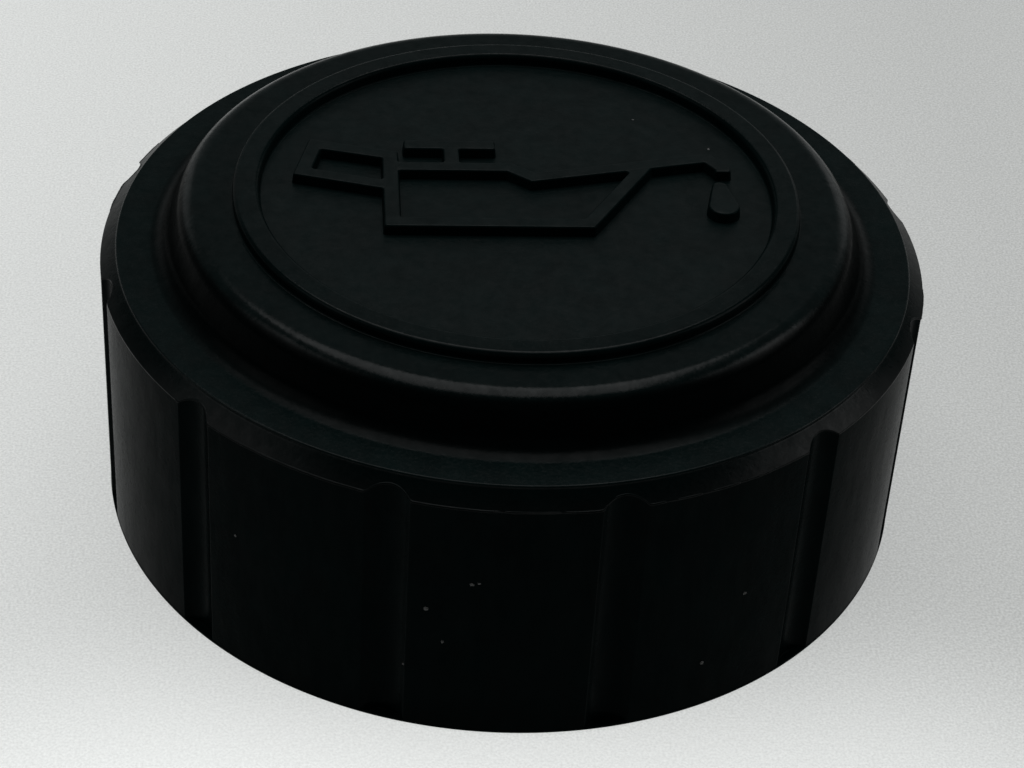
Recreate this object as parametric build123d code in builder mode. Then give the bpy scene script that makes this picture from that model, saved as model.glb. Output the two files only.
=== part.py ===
from build123d import *
import os

# Oil filler cap of a car engine: a fluted screw cap moulded in one piece, and its sealing ring.
# Millimetres. The origin is the centre of the rim that the cap stands on, +Z is up, and the sign
# on top reads upright with +X to its right.

# Skirt, the part that a hand turns
skirt_radius = 32.0
skirt_height = 21.22  # rim to the mould's parting line
skirt_wall = 3.6
rim_round = 0.3  # outer edge that the cap stands on
rim_band = 0.4  # plain band under the flutes
mouth_chamfer = 0.7  # lead-in of the bore

# Flutes in the skirt
flute_count = 12
flute_width = 3.4
flute_depth = 0.7
flute_edge_round = 0.35
flute_turn = -79.15  # degrees from +X to the first flute

# Flange above the skirt
chamfer_width = 1.22
chamfer_height = 1.1
flange_edge_height = 0.24  # upright face between the chamfer and the top of the flange
flange_edge_round = 0.15
flange_wall = 3.0

# Dome that stands on the flange
flange_ledge = 3.69  # from the flange's edge in to the foot of the dome
dome_draft = 1.47  # how much further out the foot of the dome stands than its top
dome_height = 3.81  # top of the flange to the shelf around the raised ring
roof_wall = 2.8
shoulder_round = 1.8
cove_round = 1.8

# Raised ring, and the sunken disc inside it
dome_ledge = 3.81  # from the top edge of the dome in to the ring
ring_width = 2.0
ring_height = 0.85  # above the shelf
ring_draft = 0.08  # how much further in the foot of the inner wall stands than its top
ring_top_round = 0.4
ring_foot_round = 0.15
disc_drop = 0.1  # from the shelf down to the disc

# Oil-can sign, drawn on a grid that is as wide as the sign
sign_height = 0.82
sign_margin = 2.5  # from the ends of the sign to the foot of the raised ring
sign_grid_steps = 34.5
sign_stroke_steps = 1.25
sign_corner_steps = 0.2
drop_steps = 1.2
drop_tip_steps = 0.6

# Seat under the flange, and the sealing ring in it
seat_step = 0.5  # the seat is this much narrower than the bore
collar_wall = 1.6
seal_gap = 0.2  # room on each side of the sealing ring
seal_width = 2.5
seal_height = 2.3
seal_set_back = 0.1  # how far the sealing ring stands back from the mouth of its seat
seal_round = 0.35

# Heights above the rim
chamfer_top_height = skirt_height + chamfer_height
flange_height = chamfer_top_height + flange_edge_height
shelf_height = flange_height + dome_height
ring_top_height = shelf_height + ring_height
disc_height = shelf_height - disc_drop
roof_height = disc_height - roof_wall
seat_height = flange_height - flange_wall
seat_mouth_height = seat_height - seal_height - seal_set_back

# Radii
flange_radius = skirt_radius - chamfer_width
bore_radius = skirt_radius - skirt_wall
seat_radius = bore_radius - seat_step
seal_inner_radius = seat_radius - seal_gap - seal_width
collar_radius = seal_inner_radius - seal_gap
cavity_radius = collar_radius - collar_wall
dome_base_radius = flange_radius - flange_ledge
dome_top_radius = dome_base_radius - dome_draft
ring_outer_radius = dome_top_radius - dome_ledge
ring_inner_radius = ring_outer_radius - ring_width
disc_radius = ring_inner_radius - ring_draft

# Each flute is an arc through its two edges and its deepest line
flute_radius = (flute_width**2 / 4 + flute_depth**2) / (2 * flute_depth)
flute_circle_radius = skirt_radius - flute_depth + flute_radius

# One step of the sign's grid, and what is drawn in such steps
grid_step = 2 * (disc_radius - sign_margin) / sign_grid_steps
sign_stroke = sign_stroke_steps * grid_step
sign_corner_round = sign_corner_steps * grid_step
drop_radius = drop_steps * grid_step
drop_tip_radius = drop_tip_steps * grid_step


def on_grid(*points):
    """Points of the sign in millimetres, given in grid steps from the centre of the disc."""
    return [(x * grid_step, y * grid_step) for x, y in points]


# Half section of the cap, each corner with the radius that rounds it
cap_section = [
    ((0, disc_height), 0),
    ((disc_radius, disc_height), ring_foot_round),
    ((ring_inner_radius, ring_top_height), ring_top_round),
    ((ring_outer_radius, ring_top_height), ring_top_round),
    ((ring_outer_radius, shelf_height), ring_foot_round),
    ((dome_top_radius, shelf_height), shoulder_round),
    ((dome_base_radius, flange_height), cove_round),
    ((flange_radius, flange_height), flange_edge_round),
    ((flange_radius, chamfer_top_height), 0),
    ((skirt_radius, skirt_height), 0),
    ((skirt_radius, 0), rim_round),
    ((bore_radius + mouth_chamfer, 0), 0),
    ((bore_radius, mouth_chamfer), 0),
    ((bore_radius, seat_mouth_height), 0),
    ((seat_radius, seat_mouth_height), 0),
    ((seat_radius, seat_height), 0),
    ((collar_radius, seat_height), 0),
    ((collar_radius, seat_mouth_height), 0),
    ((cavity_radius, seat_mouth_height), 0),
    ((cavity_radius, roof_height), 0),
    ((0, roof_height), 0),
]

# Centre lines of the sign's strokes
sign_strokes = [
    # top of the can, running on into the spout and its tip
    on_grid((-9.7, 2.85), (-0.45, 2.85), (1.35, 1.45), (15.25, 4.5), (16.3, 3.0), (16.3, 2.45)),
    # sides and bottom of the can
    on_grid((-9.7, 2.85), (-9.7, -4.9), (5.25, -4.9), (10.3, 3.4)),
    # handle
    on_grid((-9.7, 2.85), (-9.7, 4.45), (-15.55, 5.9), (-16.5, 1.95), (-9.7, 0.1)),
    # neck and lid of the filler
    on_grid((-4.9, 2.85), (-4.9, 6.0)),
    on_grid((-8.6, 6.0), (-1.4, 6.0)),
]
drop_place = on_grid((15.8, -2.35))
drop_tip_place = on_grid((15.8, 0.45))

# Outline of the skirt with its flutes
with BuildSketch() as fluted_outline:
    Circle(skirt_radius)
    with PolarLocations(flute_circle_radius, flute_count, start_angle=flute_turn):
        Circle(flute_radius, mode=Mode.SUBTRACT)
    fillet(fluted_outline.vertices(), flute_edge_round)

# Cap body: a turned section with flutes around it and the sign raised on its disc
with BuildPart() as cap_body:
    with BuildSketch(Plane.XZ):
        with BuildLine():
            FilletPolyline(
                *[corner for corner, _ in cap_section],
                radius=[rounding for _, rounding in cap_section],
                close=True,
            )
        make_face()
    revolve(axis=Axis.Z)

    with BuildSketch(Plane.XY.offset(rim_band)):
        Circle(skirt_radius + flute_depth)
        add(fluted_outline.sketch_local, mode=Mode.SUBTRACT)
    extrude(amount=flange_height, mode=Mode.SUBTRACT)

    with BuildSketch(Plane.XY.offset(disc_height)) as can_sign:
        for stroke in sign_strokes:
            with BuildLine():
                Polyline(*stroke)
            trace(line_width=sign_stroke)
        fillet(can_sign.vertices(), sign_corner_round)
    with BuildSketch(Plane.XY.offset(disc_height)):
        with Locations(*drop_place):
            Circle(drop_radius)
        with Locations(*drop_tip_place):
            Circle(drop_tip_radius)
        make_hull()
    extrude(amount=sign_height)

# Sealing ring: a square-sectioned rubber ring against the underside of the flange
with BuildPart() as sealing_ring:
    with BuildSketch(Plane.XZ):
        with Locations((seal_inner_radius, seat_height)):
            RectangleRounded(seal_width, seal_height, seal_round, align=(Align.MIN, Align.MAX))
    revolve(axis=Axis.Z)

cap_body.part.label = "cap_body"
sealing_ring.part.label = "sealing_ring"

os.makedirs("parts", exist_ok=True)
export_step(cap_body.part, "parts/cap_body.step")
export_step(sealing_ring.part, "parts/sealing_ring.step")
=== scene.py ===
import math

import bmesh
import bpy
import numpy as np
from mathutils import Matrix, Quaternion, Vector


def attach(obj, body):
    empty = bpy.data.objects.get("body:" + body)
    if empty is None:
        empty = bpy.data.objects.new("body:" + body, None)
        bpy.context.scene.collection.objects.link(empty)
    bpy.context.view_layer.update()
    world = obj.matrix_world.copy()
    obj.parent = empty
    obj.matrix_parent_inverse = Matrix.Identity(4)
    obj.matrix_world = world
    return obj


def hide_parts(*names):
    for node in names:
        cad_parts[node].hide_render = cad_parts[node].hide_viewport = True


# Oil filler cap of a car engine, dressed for pictures. Sizes are in millimetres and angles in degrees.
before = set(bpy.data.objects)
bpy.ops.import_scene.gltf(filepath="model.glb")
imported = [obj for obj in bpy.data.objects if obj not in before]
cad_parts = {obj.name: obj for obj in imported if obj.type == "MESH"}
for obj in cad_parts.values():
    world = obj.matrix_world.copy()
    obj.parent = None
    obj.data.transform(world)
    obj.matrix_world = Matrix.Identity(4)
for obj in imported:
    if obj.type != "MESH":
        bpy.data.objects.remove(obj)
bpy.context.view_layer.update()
mm = 0.001

# Skirt and its flutes
skirt_radius = 32.0
skirt_height = 21.22
skirt_wall = 3.6
rim_round = 0.3
rim_band = 0.4
mouth_chamfer = 0.7
flute_count = 12
flute_width = 3.4
flute_depth = 0.7
flute_edge_round = 0.35
flute_turn = -79.15

# Flange, dome and raised ring
chamfer_width = 1.22
chamfer_height = 1.1
flange_edge_height = 0.24
flange_edge_round = 0.15
flange_wall = 3.0
flange_ledge = 3.69
dome_draft = 1.47
dome_height = 3.81
shoulder_round = 1.8
cove_round = 1.8
roof_wall = 2.8
dome_ledge = 3.81
ring_width = 2.0
ring_height = 0.85
ring_draft = 0.08
ring_top_round = 0.4
ring_foot_round = 0.15
disc_drop = 0.1
sign_height = 0.82

# Seat of the sealing ring
seat_step = 0.5
collar_wall = 1.6
seal_gap = 0.2
seal_width = 2.5
seal_height = 2.3
seal_set_back = 0.1

# Small rounds that a mould leaves on every edge
parting_edge_round = 0.08
rim_ledge_round = 0.08
rim_ledge_share = 0.4  # most of the ledge under a flute that a round may take
smallest_step = 0.02
inner_edge_round = 0.15
sign_edge_round = 0.17
sign_edge_steps = 4
sign_sink = 0.3
sign_draft = 0.12

# Thread in the bore
thread_pitch = 5.0
thread_depth = 1.0
thread_foot = 2.8
thread_crest = 1.2
thread_start_height = 3.2
thread_turns = 2.3
thread_turn_steps = 180
thread_run_out = 30.0
thread_sink = 0.1
thread_edge = 0.1  # half the width of the rounded edge on each side of the crest
thread_edge_share = 0.85  # share of the depth at which that edge starts

# Heights and radii that follow
chamfer_top_height = skirt_height + chamfer_height
flange_height = chamfer_top_height + flange_edge_height
shelf_height = flange_height + dome_height
ring_top_height = shelf_height + ring_height
disc_height = shelf_height - disc_drop
sign_top_height = disc_height + sign_height
roof_height = disc_height - roof_wall
seat_height = flange_height - flange_wall
seat_mouth_height = seat_height - seal_height - seal_set_back
flange_radius = skirt_radius - chamfer_width
bore_radius = skirt_radius - skirt_wall
seat_radius = bore_radius - seat_step
collar_radius = seat_radius - seal_width - 2 * seal_gap
cavity_radius = collar_radius - collar_wall
dome_base_radius = flange_radius - flange_ledge
dome_top_radius = dome_base_radius - dome_draft
ring_outer_radius = dome_top_radius - dome_ledge
ring_inner_radius = ring_outer_radius - ring_width
disc_radius = ring_inner_radius - ring_draft

# A flute's arc, and the rounds along its two edges
flute_radius = (flute_width**2 / 4 + flute_depth**2) / (2 * flute_depth)
flute_circle_radius = skirt_radius - flute_depth + flute_radius
edge_circle_radius = skirt_radius - flute_edge_round
edge_reach = flute_radius + flute_edge_round


def unit(vectors):
    """The same directions with length 1."""
    return vectors / np.linalg.norm(vectors, axis=-1, keepdims=True)


def edge_turns():
    """Angles from a flute's middle to the inner and the outer end of the round on its edge."""
    outer = math.acos(
        (edge_circle_radius**2 + flute_circle_radius**2 - edge_reach**2)
        / (2 * edge_circle_radius * flute_circle_radius)
    )
    flute_middle = np.array([flute_circle_radius, 0.0])
    edge_middle = edge_circle_radius * np.array([math.cos(outer), math.sin(outer)])
    meeting = flute_middle + (edge_middle - flute_middle) * flute_radius / edge_reach
    return math.atan2(meeting[1], meeting[0]), outer


inner_turn, outer_turn = edge_turns()
half_pitch = math.pi / flute_count


def outline_radius(angle):
    """Radius of the fluted outline at an angle around the axis, in radians."""
    turn = abs((angle - math.radians(flute_turn) + half_pitch) % (2 * half_pitch) - half_pitch)
    if turn >= outer_turn:
        return skirt_radius
    if turn >= inner_turn:
        away = edge_circle_radius * math.sin(turn - outer_turn)
        return edge_circle_radius * math.cos(turn - outer_turn) + math.sqrt(flute_edge_round**2 - away**2)
    away = flute_circle_radius * math.sin(turn)
    return flute_circle_radius * math.cos(turn) - math.sqrt(flute_radius**2 - away**2)


def parting_height(outer_radius):
    """Height of the chamfer's foot, which is higher where a flute cuts into the chamfer."""
    return skirt_height + (skirt_radius - outer_radius) * chamfer_height / chamfer_width


# Columns around the axis: close together in the flutes and on their edges, wider on the panels
flute_steps = 8
edge_steps = 6
panel_steps = 10
half_turns = np.concatenate(
    [
        np.linspace(0, inner_turn, flute_steps, endpoint=False),
        np.linspace(inner_turn, outer_turn, edge_steps, endpoint=False),
        np.linspace(outer_turn, half_pitch, panel_steps + 1),
    ]
)
pitch_turns = np.concatenate([-half_turns[-2:0:-1], half_turns])
column_angles = np.concatenate(
    [math.radians(flute_turn) + 2 * half_pitch * flute + pitch_turns for flute in range(flute_count)]
)
column_radii = np.array([outline_radius(angle) for angle in column_angles])


def material(name):
    """A new material with its tree of nodes and its main shader."""
    made = bpy.data.materials.new(name)
    made.use_nodes = True
    return made, made.node_tree, made.node_tree.nodes["Principled BSDF"]


def node(tree, kind, values=None, links=None, **settings):
    """Adds a node with its own settings, values of inputs, and links from other nodes' outputs."""
    made = tree.nodes.new(kind)
    for name, value in settings.items():
        setattr(made, name, value)
    for socket, value in (values or {}).items():
        made.inputs[socket].default_value = value
    for socket, output in (links or {}).items():
        tree.links.new(output, made.inputs[socket])
    return made


def millimetre_place(tree):
    """Place on the piece in millimetres, the scale that the textures are drawn at."""
    place = node(tree, "ShaderNodeTexCoord").outputs["Object"]
    return node(
        tree, "ShaderNodeVectorMath", {"Scale": 1 / mm}, {0: place}, operation="SCALE"
    ).outputs["Vector"]


def noise(tree, place, per_mm, detail=3.0, roughness=0.5):
    """Noise with about so many lumps per millimetre."""
    return node(
        tree,
        "ShaderNodeTexNoise",
        {"Scale": per_mm, "Detail": detail, "Roughness": roughness},
        {"Vector": place},
    ).outputs["Fac"]


def spread(tree, value, low, high, to_low, to_high):
    """Maps a value from one range to another, and keeps it inside."""
    return node(
        tree,
        "ShaderNodeMapRange",
        {"From Min": low, "From Max": high, "To Min": to_low, "To Max": to_high},
        {"Value": value},
    ).outputs["Result"]


def colour_mix(tree, share, low, high):
    """A colour between two, by a share from another node."""
    mix = node(tree, "ShaderNodeMix", data_type="RGBA")
    mix.inputs["A"].default_value = (*low, 1)
    mix.inputs["B"].default_value = (*high, 1)
    tree.links.new(share, mix.inputs["Factor"])
    return mix.outputs["Result"]


def combine(tree, operation, first, second):
    """Two values put together by a sum, a product or the like."""
    return node(tree, "ShaderNodeMath", links={0: first, 1: second}, operation=operation).outputs[0]


def axis_distance(tree, place):
    """Distance of a place from the cap's axis."""
    level = node(tree, "ShaderNodeVectorMath", {1: (1, 1, 0)}, {0: place}, operation="MULTIPLY")
    length = node(tree, "ShaderNodeVectorMath", links={0: level.outputs["Vector"]}, operation="LENGTH")
    return length.outputs["Value"]


def by_radius(tree, radius, stops):
    """A value that changes with the distance from the axis, given at some radii."""
    share = node(tree, "ShaderNodeMath", {1: skirt_radius}, {0: radius}, operation="DIVIDE")
    ramp = node(tree, "ShaderNodeValToRGB", links={0: share.outputs[0]})
    elements = ramp.color_ramp.elements
    while len(elements) < len(stops):
        elements.new(1.0)
    for element, (place, value) in zip(elements, stops):
        element.position = place / skirt_radius
        element.color = (value, value, value, 1)
    return ramp.outputs["Color"]


def by_zone(tree, place, radius, skirt, top_stops):
    """A value that is even on the skirt and changes with the radius on the top."""
    height = node(tree, "ShaderNodeSeparateXYZ", links={0: place}).outputs["Z"]
    border = spread(tree, radius, flange_radius, skirt_radius, chamfer_top_height, skirt_height)
    return node(
        tree,
        "ShaderNodeMapRange",
        {"From Min": -2 * parting_edge_round, "From Max": -parting_edge_round, "To Min": skirt},
        {
            "Value": combine(tree, "SUBTRACT", height, border),
            "To Max": by_radius(tree, radius, top_stops),
        },
    ).outputs["Result"]


# Radii at which the finish of the top and its painted shade and highlights change
ring_middle_radius = ring_outer_radius - ring_width / 2
ring_shade_radius = ring_outer_radius + 0.3
shelf_middle_radius = ring_outer_radius + 1.0
shoulder_end_radius = dome_top_radius - 0.18
wall_start_radius = dome_top_radius + 0.06
cove_start_radius = dome_base_radius + 0.05
cove_middle_radius = dome_base_radius + 0.4
cove_end_radius = dome_base_radius + 0.88
ledge_start_radius = dome_base_radius + 1.15
ledge_middle_radius = dome_base_radius + 1.8
chamfer_start_radius = flange_radius + 0.1

# Finish of the plastic, with painted shade and highlights: even on the skirt, and by the radius on the
# top
skirt_gloss = 0.0058
# Gloss of the top: the low gloss on the dome's wall and at the inner edge of the flange is painted shade,
# and the raised gloss in the cove and at the chamfer's foot is painted highlight
top_gloss_and_painted_light = (
    (disc_radius, 0.05),
    (ring_inner_radius, 0.055),
    (shelf_middle_radius, 0.048),
    (shoulder_end_radius, 0.046),
    (wall_start_radius, 0.008),
    (cove_start_radius, 0.008),
    (cove_middle_radius, 0.017),
    (cove_end_radius, 0.016),
    (ledge_start_radius, 0.034),
    (ledge_middle_radius, 0.04),
    (flange_radius, 0.04),
    (chamfer_start_radius, 0.02),
    (skirt_radius, 0.038),
)
skirt_roughness = 0.24
top_roughness = (
    (disc_radius, 0.34),
    (ring_inner_radius, 0.24),
    (shoulder_end_radius, 0.22),
    (wall_start_radius, 0.3),
    (cove_end_radius, 0.3),
    (ledge_start_radius, 0.26),
    (flange_radius, 0.26),
    (skirt_radius, 0.34),
)
skirt_teal = 0.4
# Teal tint of the top by radius, with painted shade: the dome's wall, the cove and the chamfer get little
# of it, so that they look darker
top_teal_and_painted_shade = (
    (disc_radius, 0.55),
    (ring_inner_radius, 0.45),
    (shoulder_end_radius, 0.45),
    (wall_start_radius, 0.05),
    (cove_start_radius, 0.05),
    (cove_end_radius, 0.3),
    (ledge_start_radius, 0.6),
    (flange_radius, 0.6),
    (chamfer_start_radius, 0.3),
    (skirt_radius, 0.15),
)
# Painted shade on the steep rounded edges of the ring, its foot and the sign: how much of their highlight
# is taken away, by radius
painted_edge_shade = (
    (ring_middle_radius, 0.85),
    (ring_outer_radius, 0.75),
    (ring_shade_radius, 0.75),
    (shelf_middle_radius, 0.0),
)
level_facing = 0.985  # upward share of a surface's direction, above which it counts as level
steep_facing = 0.9

# Colours of the plastic, and its textures: lumps per millimetre and how much each texture changes
black_tone = (0.0003, 0.0006, 0.0006)
teal_tone = (0.0006, 0.0032, 0.0032)
cloud_lumps = 0.35
cloud_range = (0.35, 0.65)
teal_cloud = 0.2
grain_lumps = 3.2
grain_depth = 0.02
grain_strength = 0.6
roughness_grain = 0.04
mottle_lumps = 0.9
mottle_stretch = (1, 1, 0.3)  # drawn out along the cap's axis
gloss_mottle = 0.3
noise_range = (0.3, 0.7)  # a noise stays mostly between these


def plastic_material():
    """Black moulded plastic with a fine satin grain, duller on the skirt; painted shade darkens and dulls
    the dome's wall and dulls the steep edges, and painted highlights brighten the cove and the chamfer's
    foot.
    """
    made, tree, shader = material("black_moulded_plastic")
    place = millimetre_place(tree)
    radius = axis_distance(tree, place)
    cloud = noise(tree, place, cloud_lumps, detail=4)
    grain = noise(tree, place, grain_lumps, detail=2)
    drawn_out = node(tree, "ShaderNodeVectorMath", {1: mottle_stretch}, {0: place}, operation="MULTIPLY")
    mottle = noise(tree, drawn_out.outputs["Vector"], mottle_lumps, detail=6, roughness=0.7)

    # Base colour: the plastic's teal tint, with painted shade on the dome's wall, the cove and the
    # chamfer
    teal_and_painted_shade = by_zone(tree, place, radius, skirt_teal, top_teal_and_painted_shade)
    clouded = spread(tree, cloud, *cloud_range, 1 - teal_cloud, 1 + teal_cloud)
    share = combine(tree, "MULTIPLY", teal_and_painted_shade, clouded)
    tree.links.new(colour_mix(tree, share, black_tone, teal_tone), shader.inputs["Base Color"])

    rough = by_zone(tree, place, radius, skirt_roughness, top_roughness)
    grained = spread(tree, grain, *noise_range, -roughness_grain, roughness_grain)
    tree.links.new(combine(tree, "ADD", rough, grained), shader.inputs["Roughness"])
    bump = node(
        tree,
        "ShaderNodeBump",
        {"Strength": grain_strength, "Distance": grain_depth * mm},
        {"Height": grain},
    )
    tree.links.new(bump.outputs["Normal"], shader.inputs["Normal"])

    # Painted shade: the highlights on steep edges of the ring and the sign are dulled
    facing = node(tree, "ShaderNodeTexCoord").outputs["Normal"]
    upward = node(tree, "ShaderNodeSeparateXYZ", links={0: facing}).outputs["Z"]
    level = spread(tree, upward, steep_facing, level_facing, 0, 1)
    kept = node(
        tree,
        "ShaderNodeMapRange",
        {"To Min": 1.0},
        {"Value": by_radius(tree, radius, painted_edge_shade), "To Max": level},
    ).outputs["Result"]
    # Gloss with painted shade on the dome's wall and inner flange, and painted highlights in the cove and
    # at the chamfer's foot
    gloss_and_painted_light = by_zone(tree, place, radius, skirt_gloss, top_gloss_and_painted_light)
    mottled = spread(tree, mottle, *noise_range, 1 - gloss_mottle, 1 + gloss_mottle)
    gloss_and_painted_light = combine(tree, "MULTIPLY", gloss_and_painted_light, mottled)
    tree.links.new(combine(tree, "MULTIPLY", gloss_and_painted_light, kept), shader.inputs["Specular IOR Level"])
    return made


# Finish of the rubber
rubber_tone = (0.008, 0.008, 0.008)
bloom_tone = (0.016, 0.016, 0.015)
bloom_lumps = 0.8
bloom_range = (0.4, 0.7)
rubber_grain_lumps = 5.0
rubber_roughness = (0.6, 0.75)
rubber_gloss = 0.2


def rubber_material():
    """Dull black rubber with a faint bloom."""
    made, tree, shader = material("dull_black_rubber")
    place = millimetre_place(tree)
    bloom = noise(tree, place, bloom_lumps, detail=4)
    share = spread(tree, bloom, *bloom_range, 0, 1)
    tree.links.new(colour_mix(tree, share, rubber_tone, bloom_tone), shader.inputs["Base Color"])
    grain = noise(tree, place, rubber_grain_lumps)
    tree.links.new(spread(tree, grain, *noise_range, *rubber_roughness), shader.inputs["Roughness"])
    shader.inputs["Specular IOR Level"].default_value = rubber_gloss
    return made


# Finish of the dust
dark_dust_tone = (0.01, 0.011, 0.011)
pale_dust_tone = (0.05, 0.05, 0.048)
dust_lumps = 4.0
dust_roughness = 0.9


def dust_material():
    """Pale grains of dust."""
    made, tree, shader = material("pale_dust")
    share = noise(tree, millimetre_place(tree), dust_lumps)
    tree.links.new(colour_mix(tree, share, dark_dust_tone, pale_dust_tone), shader.inputs["Base Color"])
    shader.inputs["Roughness"].default_value = dust_roughness
    return made


def add_piece(name, mesh, look):
    """Puts a mesh into the scene as a piece that rides with the cap."""
    mesh.materials.append(look)
    if not mesh.has_custom_normals:
        mesh.shade_smooth()
    piece = bpy.data.objects.new(name, mesh)
    bpy.context.scene.collection.objects.link(piece)
    if not mesh.has_custom_normals:
        piece.modifiers.new("flat_faces", "WEIGHTED_NORMAL")
    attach(piece, "root")
    return piece


def new_mesh(name, points, faces):
    """A mesh of points in millimetres."""
    mesh = bpy.data.meshes.new(name)
    mesh.from_pydata((np.asarray(points) * mm).tolist(), [], faces)
    mesh.validate()
    return mesh


def cap_corners(outer_radius):
    """Corners of the cap's half section: radius, height, the round on the corner and its steps."""
    wall_radius = np.minimum(outer_radius, skirt_radius - smallest_step)
    ledge_round = np.minimum(rim_ledge_share * (skirt_radius - wall_radius), rim_ledge_round)
    return [
        (0, disc_height, 0, 0),
        (disc_radius, disc_height, ring_foot_round, 3),
        (ring_inner_radius, ring_top_height, ring_top_round, 5),
        (ring_outer_radius, ring_top_height, ring_top_round, 5),
        (ring_outer_radius, shelf_height, ring_foot_round, 3),
        (dome_top_radius, shelf_height, shoulder_round, 12),
        (dome_base_radius, flange_height, cove_round, 12),
        (flange_radius, flange_height, flange_edge_round, 4),
        (flange_radius, chamfer_top_height, smallest_step, 2),
        (wall_radius, parting_height(wall_radius), parting_edge_round, 3),
        (wall_radius, rim_band, ledge_round, 2),
        (skirt_radius, rim_band, ledge_round, 2),
        (skirt_radius, 0, rim_round, 5),
        (bore_radius + mouth_chamfer, 0, inner_edge_round, 3),
        (bore_radius, mouth_chamfer, inner_edge_round, 3),
        (bore_radius, seat_mouth_height, inner_edge_round, 3),
        (seat_radius, seat_mouth_height, inner_edge_round, 3),
        (seat_radius, seat_height, inner_edge_round, 3),
        (collar_radius, seat_height, inner_edge_round, 3),
        (collar_radius, seat_mouth_height, inner_edge_round, 3),
        (cavity_radius, seat_mouth_height, inner_edge_round, 3),
        (cavity_radius, roof_height, inner_edge_round, 3),
        (0, roof_height, 0, 0),
    ]


def rounded_corner(before, corner, after, radius, steps):
    """Rows of points along the arc that rounds a corner, each with its direction of travel."""
    radius = np.reshape(radius, (-1, 1))
    back = unit(before - corner)
    onward = unit(after - corner)
    half = 0.5 * np.arccos(np.sum(back * onward, axis=-1, keepdims=True))
    middle = corner + unit(back + onward) * radius / np.sin(half)
    start = corner + back * radius / np.tan(half) - middle
    end = corner + onward * radius / np.tan(half) - middle
    sweep = math.pi - 2 * half
    rows = []
    for share in np.linspace(0, 1, steps + 1):
        place = start * np.sin((1 - share) * sweep) + end * np.sin(share * sweep)
        travel = end * np.cos(share * sweep) - start * np.cos((1 - share) * sweep)
        rows.append((middle + place / np.sin(sweep), unit(travel)))
    return rows


def around_slope(values):
    """Change of a row's values with the angle around the axis."""
    turn = 2 * math.pi
    angles = np.concatenate([[column_angles[-1] - turn], column_angles, [column_angles[0] + turn]])
    return np.gradient(np.concatenate([values[-1:], values, values[:1]]), angles)[1:-1]


def row_points(row):
    """Points of one row, and the directions that its surface faces."""
    place, travel = row
    radius, height = place.T
    ahead, rise = travel.T
    cosine = np.cos(column_angles)
    sine = np.sin(column_angles)
    points = np.stack([radius * cosine, radius * sine, height], axis=-1)
    outward = -radius * rise
    sideways = around_slope(radius) * rise - around_slope(height) * ahead
    upward = radius * ahead
    facing = [outward * cosine - sideways * sine, outward * sine + sideways * cosine, upward]
    return points, unit(np.stack(facing, axis=-1))


def cap_mesh():
    """The cap's section turned around the axis, column by column, so that the flutes are cut exactly."""
    corners = cap_corners(column_radii)
    columns = len(column_angles)
    places = [np.stack(np.broadcast_arrays(r, z, column_angles)[:2], axis=-1) for r, z, _, _ in corners]
    rows = []
    for index in range(1, len(corners) - 1):
        _, _, radius, steps = corners[index]
        rows += rounded_corner(places[index - 1], places[index], places[index + 1], radius, steps)
    made = [row_points(row) for row in rows]
    last = (len(rows) - 1) * columns
    faces = [tuple(range(columns)), tuple(range(last + columns - 1, last - 1, -1))]
    for column in range(columns):
        beside = (column + 1) % columns
        for upper in range(0, last, columns):
            lower = upper + columns
            faces.append((upper + column, lower + column, lower + beside, upper + beside))
    mesh = new_mesh("cap_shell", np.concatenate([points for points, _ in made]), faces)
    mesh.shade_smooth()
    mesh.normals_split_custom_set_from_vertices(np.concatenate([facing for _, facing in made]).tolist())
    return mesh


# How close points of the solid's mesh count as one, and how level the sign's top faces are
weld_distance = 0.001
level_tolerance = 0.01


def sign_outlines():
    """Closed outlines of the sign's top faces, in millimetres, with the faces on their left."""
    shape = bmesh.new()
    shape.from_mesh(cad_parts["cap_body"].data)
    bmesh.ops.remove_doubles(shape, verts=shape.verts, dist=weld_distance * mm)
    top = max(corner.co.z for corner in shape.verts if corner.co.xy.length < disc_radius * mm)
    others = [
        face
        for face in shape.faces
        if face.calc_center_median().xy.length > disc_radius * mm
        or min(corner.co.z for corner in face.verts) < top - level_tolerance * mm
    ]
    bmesh.ops.delete(shape, geom=others, context="FACES")
    following = {}
    for edge in shape.edges:
        if edge.is_boundary:
            side = edge.link_loops[0]
            following[side.vert] = side.link_loop_next.vert
    outlines = []
    while following:
        corner = min(following, key=lambda vert: (vert.co.x, vert.co.y))
        outline = []
        while corner in following:
            outline.append((corner.co.x / mm, corner.co.y / mm))
            corner = following.pop(corner)
        outlines.append(np.array(outline))
    shape.free()
    return outlines


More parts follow.
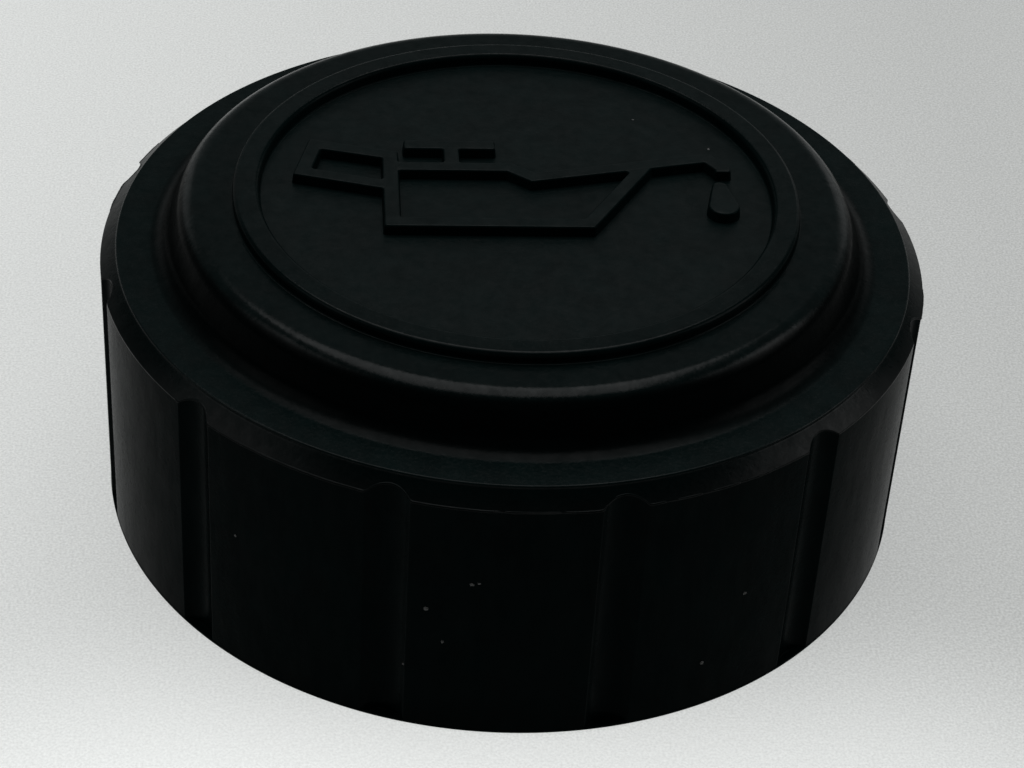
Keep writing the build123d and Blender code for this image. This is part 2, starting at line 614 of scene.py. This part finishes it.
def sign_mesh():
    """The oil-can sign as a relief with softly rounded edges."""
    shape = bmesh.new()
    rim = []
    for outline in sign_outlines():
        along = unit(np.roll(outline, -1, axis=0) - outline)
        left = np.stack([-along[:, 1], along[:, 0]], axis=-1)
        before = np.roll(left, 1, axis=0)
        inward = (left + before) / (1 + np.sum(left * before, axis=-1, keepdims=True))
        rings = [(outline - inward * sign_draft, disc_height - sign_sink)]
        for turn in np.linspace(0, math.pi / 2, sign_edge_steps + 1):
            inset = sign_edge_round * (1 - math.cos(turn))
            drop = sign_edge_round * (1 - math.sin(turn))
            rings.append((outline + inward * inset, sign_top_height - drop))
        made = [
            [shape.verts.new((x * mm, y * mm, height * mm)) for x, y in ring] for ring, height in rings
        ]
        count = len(outline)
        for lower, upper in zip(made, made[1:]):
            for index in range(count):
                beside = (index + 1) % count
                shape.faces.new((lower[index], lower[beside], upper[beside], upper[index]))
        rim += [shape.edges.get((made[-1][i], made[-1][(i + 1) % count])) for i in range(count)]
    bmesh.ops.triangle_fill(shape, edges=rim, use_beauty=True, normal=(0, 0, 1))
    mesh = bpy.data.meshes.new("oil_sign")
    shape.to_mesh(mesh)
    shape.free()
    return mesh


def strip_faces(sections, corners, first):
    """Faces of a closed strip of sections, with a face on each end."""
    faces = []
    for section in range(sections - 1):
        here = first + section * corners
        there = here + corners
        for corner in range(corners):
            beside = (corner + 1) % corners
            faces.append((here + corner, here + beside, there + beside, there + corner))
    last = first + (sections - 1) * corners
    faces.append(tuple(range(first + corners - 1, first - 1, -1)))
    faces.append(tuple(range(last, last + corners)))
    return faces


def thread_mesh():
    """The coarse right-hand thread that stands on the wall of the bore."""
    steps = int(thread_turns * thread_turn_steps)
    total = thread_turns * 360
    foot = thread_foot / 2
    edge_start = thread_crest / 2 + thread_edge
    edge_end = thread_crest / 2 - thread_edge
    points = []
    for step in range(steps + 1):
        degrees = total * step / steps
        run_out = min(1, degrees / thread_run_out, (total - degrees) / thread_run_out)
        depth = thread_depth * math.sin(run_out * math.pi / 2)
        height = thread_start_height + thread_pitch * degrees / 360
        angle = math.radians(degrees)
        section = (
            (-thread_sink, foot),
            (-thread_sink, -foot),
            (thread_edge_share * depth, -edge_start),
            (depth, -edge_end),
            (depth, edge_end),
            (thread_edge_share * depth, edge_start),
        )
        for reach, rise in section:
            radius = bore_radius - reach
            points.append((radius * math.cos(angle), radius * math.sin(angle), height + rise))
    return new_mesh("neck_thread", points, strip_faces(steps + 1, len(section), 0))


# Section of the flash: each corner's distance from the skirt's outline, the share of the flash's
# reach that is added to it, and its height above the parting line
flash_section = (
    (-0.12, 0, 0.07),
    (-0.05, 0, -0.12),
    (-0.03, 1, -0.09),
    (0.0, 1, -0.03),
    (0.0, 0, 0.04),
)

# Stretches of flash along the parting line: start and end angle, and how far it stands out
flash_stretches = (
    (-143.0, -95.0, 0.13),
    (-94.5, -87.5, 0.09),
    (-87.0, -81.6, 0.12),
    (-80.6, -74.0, 0.1),
    (-72.5, -69.0, 0.06),
    (-67.5, -63.5, 0.07),
    (-62.5, -58.0, 0.06),
    (-20.0, -9.0, 0.06),
    (24.0, 58.0, 0.1),
    (118.0, 131.0, 0.08),
    (152.0, 171.0, 0.09),
)
flash_seed = 7
flash_step = 0.2
flash_smoothing = 7  # sections over which the ragged edge is evened out
flash_least = 0.55  # smallest share of its reach
flash_fade_steps = 6
flash_limit = skirt_radius - smallest_step / 2  # keeps the flash inside the cap's box


def flash_mesh():
    """Ragged flash that the mould left along its parting line."""
    chance = np.random.RandomState(flash_seed)
    even_out = np.ones(flash_smoothing) / flash_smoothing
    points = []
    faces = []
    for start, end, reach in flash_stretches:
        sections = int((end - start) / flash_step) + 1
        ragged = np.convolve(chance.rand(sections + flash_smoothing - 1), even_out, mode="valid")
        ragged = (ragged - ragged.min()) / (ragged.max() - ragged.min())
        first = len(points)
        for index, degrees in enumerate(np.linspace(start, end, sections)):
            fade = min(1, index / flash_fade_steps, (sections - 1 - index) / flash_fade_steps)
            tip = reach * fade * (flash_least + (1 - flash_least) * ragged[index])
            angle = math.radians(degrees)
            edge = outline_radius(angle)
            for distance, share, rise in flash_section:
                radius = edge + distance + share * tip
                x = np.clip(radius * math.cos(angle), -flash_limit, flash_limit)
                y = np.clip(radius * math.sin(angle), -flash_limit, flash_limit)
                points.append((x, y, parting_height(edge) + rise))
        faces += strip_faces(sections, len(flash_section), first)
    return new_mesh("parting_flash", points, faces)


# Grains of dust: angle and height on the skirt with their size, and places on the disc
skirt_grains = (
    (-98.0, 14.43, 0.15),
    (-97.1, 14.55, 0.1),
    (-103.7, 11.62, 0.14),
    (-101.4, 8.69, 0.11),
    (-106.4, 5.82, 0.11),
    (-60.4, 10.13, 0.15),
    (-66.0, 4.58, 0.17),
    (-131.4, 12.35, 0.14),
)
disc_grains = ((10.1, 11.4, 0.09), (15.73, 7.05, 0.1))
grain_seed = 3
grain_least_stretch = 0.7
grain_stretch_change = 0.6
grain_lump = 0.5
grain_flattening = 0.6


def dust_mesh():
    """Flat, uneven grains of dust that lie on the skirt and the disc."""
    chance = np.random.RandomState(grain_seed)
    shape = bmesh.new()
    grains = []
    for degrees, height, size in skirt_grains:
        angle = math.radians(degrees)
        outward = Vector((math.cos(angle), math.sin(angle), 0))
        grains.append((outward * outline_radius(angle) + Vector((0, 0, height)), outward, size))
    for x, y, size in disc_grains:
        grains.append((Vector((x, y, disc_height)), Vector((0, 0, 1)), size))
    for middle, outward, size in grains:
        made = bmesh.ops.create_icosphere(shape, subdivisions=2, radius=size * mm)["verts"]
        stretch = Vector(grain_least_stretch + grain_stretch_change * chance.rand(3))
        for vert in made:
            lump = 1 + grain_lump * (chance.rand() - 0.5)
            vert.co = Vector([a * b for a, b in zip(vert.co * lump, stretch)])
            vert.co -= outward * vert.co.dot(outward) * grain_flattening
            vert.co += middle * mm
    mesh = bpy.data.meshes.new("dust_grains")
    shape.to_mesh(mesh)
    shape.free()
    return mesh


# Camera: its place around the rim's middle, and how it is turned away from that point
camera_sensor = 36.0
camera_lens = 92.52
camera_near = 5.0
camera_distance = 218.74
camera_elevation = 38.76
camera_turn = -5.4
camera_pan = -0.15
camera_tilt = 1.69
camera_roll = -3.54


def add_camera():
    """The camera at the photograph's viewing angle."""
    data = bpy.data.cameras.new("camera")
    data.sensor_width = camera_sensor
    data.lens = camera_lens
    data.clip_start = camera_near * mm
    camera = bpy.data.objects.new("camera", data)
    bpy.context.scene.collection.objects.link(camera)
    turn = math.radians(camera_turn)
    rise = math.radians(camera_elevation)
    back = Vector((math.sin(turn) * math.cos(rise), -math.cos(turn) * math.cos(rise), math.sin(rise)))
    camera.location = back * camera_distance * mm
    camera.rotation_mode = "QUATERNION"
    camera.rotation_quaternion = (
        (-back).to_track_quat("-Z", "Y")
        @ Quaternion((0, 1, 0), math.radians(camera_pan))
        @ Quaternion((1, 0, 0), math.radians(camera_tilt))
        @ Quaternion((0, 0, -1), math.radians(camera_roll))
    )
    bpy.context.scene.camera = camera


# Softboxes: name, turn from the back towards the right, elevation, distance, width and power in watts
softboxes = (
    ("softbox_top", -6.0, 77.0, 550.0, 460.0, 2.9),
    ("softbox_left", -95.0, 38.0, 600.0, 300.0, 0.7),
    ("softbox_right", 92.0, 32.0, 600.0, 300.0, 1.2),
    ("softbox_back_left", -35.0, 16.0, 600.0, 220.0, 0.075),
    ("softbox_back_right", 36.0, 15.0, 600.0, 220.0, 0.095),
    ("softbox_front", 180.0, 30.0, 600.0, 360.0, 0.12),
)


def add_softbox(name, turn, elevation, distance, width, power):
    """A square softbox that points at the cap."""
    data = bpy.data.lights.new(name, "AREA")
    data.shape = "SQUARE"
    data.size = width * mm
    data.energy = power
    softbox = bpy.data.objects.new(name, data)
    bpy.context.scene.collection.objects.link(softbox)
    around = math.radians(turn)
    rise = math.radians(elevation)
    level = math.cos(rise)
    towards = Vector((math.sin(around) * level, math.cos(around) * level, math.sin(rise)))
    softbox.location = towards * distance * mm
    softbox.rotation_mode = "QUATERNION"
    softbox.rotation_quaternion = (-towards).to_track_quat("-Z", "Y")
    softbox.visible_camera = False


# Surround: strength in front and behind, and how far a direction turns towards its brightest place
surround_front = 0.004
surround_back = 0.3
surround_tint = (0.92, 1.0, 1.0)
brightest_place = (0, 0.8, 0.6)
surround_range = (0.1, 0.9)


def add_surround():
    """The dim surround, dark in front and paler behind and above."""
    world = bpy.data.worlds.new("surround")
    world.use_nodes = True
    tree = world.node_tree
    surround = tree.nodes["Background"]
    surround.inputs["Color"].default_value = (*surround_tint, 1)
    direction = node(tree, "ShaderNodeTexCoord").outputs["Generated"]
    towards = node(
        tree, "ShaderNodeVectorMath", {1: brightest_place}, {0: direction}, operation="DOT_PRODUCT"
    )
    strength = spread(tree, towards.outputs["Value"], *surround_range, surround_front, surround_back)
    tree.links.new(strength, surround.inputs["Strength"])
    bpy.context.scene.world = world


# Floor: pale paper with painted light, paler on the left and in a painted soft pool of light in front,
# which is wider than long
floor_size = 6000.0
floor_drop = 0.02  # keeps the floor's face clear of the rim's
# Painted light on the paper: paler on the left and darker on the right
floor_left = 0.68
floor_right = 0.48
floor_fade = 50.0  # from the middle to where the left or the right tone is full
# Painted pool of light in front of the cap
painted_pool_lift = 0.29
pool_stretch = (0.6, 1, 0)
pool_shift = (0, 60, 0)  # brings the middle of the pool to the origin
pool_inner = 20.0
pool_outer = 50.0
floor_grain_lumps = 5.0
floor_grain = 0.075
floor_glow_share = 0.8
paper_tint = (0.98, 1.0, 0.985)


def paper_tone(tree):
    """Colour of the paper with painted light: paler on the left and in a pool in front, with a fine
    grain.
    """
    place = millimetre_place(tree)
    sideways = node(tree, "ShaderNodeSeparateXYZ", links={0: place}).outputs["X"]
    painted_side_light = spread(tree, sideways, -floor_fade, floor_fade, floor_left, floor_right)
    pool = node(
        tree,
        "ShaderNodeVectorMath",
        {1: pool_stretch, 2: pool_shift},
        {0: place},
        operation="MULTIPLY_ADD",
    )
    distance = node(tree, "ShaderNodeVectorMath", links={0: pool.outputs["Vector"]}, operation="LENGTH")
    # Painted pool of light in front of the cap
    front = node(
        tree,
        "ShaderNodeMapRange",
        {"From Min": pool_inner, "From Max": pool_outer, "To Min": painted_pool_lift, "To Max": 0.0},
        {"Value": distance.outputs["Value"]},
        interpolation_type="SMOOTHSTEP",
    ).outputs["Result"]
    grain = spread(tree, noise(tree, place, floor_grain_lumps), *noise_range, -floor_grain, floor_grain)
    level = combine(tree, "ADD", combine(tree, "ADD", painted_side_light, front), grain)
    return node(
        tree, "ShaderNodeVectorMath", {0: paper_tint}, {"Scale": level}, operation="SCALE"
    ).outputs["Vector"]


def floor_material():
    """Pale paper, partly bright by itself so that it stays pale around the cap."""
    made, tree, shader = material("pale_paper")
    tree.nodes.remove(shader)
    tone = paper_tone(tree)
    paper = node(tree, "ShaderNodeBsdfDiffuse", links={"Color": tone})
    glow = node(tree, "ShaderNodeEmission", {"Strength": 1.0}, {"Color": tone})
    rays = node(tree, "ShaderNodeLightPath")
    seen = combine(tree, "MAXIMUM", rays.outputs["Is Camera Ray"], rays.outputs["Is Glossy Ray"])
    seen = combine(tree, "MAXIMUM", seen, rays.outputs["Is Transmission Ray"])
    share = node(tree, "ShaderNodeMath", {1: floor_glow_share}, {0: seen}, operation="MULTIPLY")
    blend = node(
        tree,
        "ShaderNodeMixShader",
        links={0: share.outputs[0], 1: paper.outputs[0], 2: glow.outputs[0]},
    )
    tree.links.new(blend.outputs[0], tree.nodes["Material Output"].inputs["Surface"])
    return made


def add_floor():
    """The plain pale floor."""
    half = floor_size / 2 * mm
    mesh = bpy.data.meshes.new("floor")
    low = -floor_drop * mm
    corners = [(-half, -half, low), (half, -half, low), (half, half, low), (-half, half, low)]
    mesh.from_pydata(corners, [], [(0, 1, 2, 3)])
    mesh.materials.append(floor_material())
    floor = bpy.data.objects.new("floor", mesh)
    bpy.context.scene.collection.objects.link(floor)


# The pieces of the cap, and then the camera, the light and the floor
plastic = plastic_material()
cap = add_piece("cap_shell", cap_mesh(), plastic)
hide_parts("cap_body")
add_piece("oil_sign", sign_mesh(), plastic)
add_piece("neck_thread", thread_mesh(), plastic)
add_piece("parting_flash", flash_mesh(), plastic)
add_piece("dust_grains", dust_mesh(), dust_material())
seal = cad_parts["sealing_ring"]
seal.data.materials.clear()
seal.data.materials.append(rubber_material())
add_camera()
for softbox in softboxes:
    add_softbox(*softbox)
add_surround()
add_floor()
bpy.context.scene.view_settings.view_transform = "Standard"
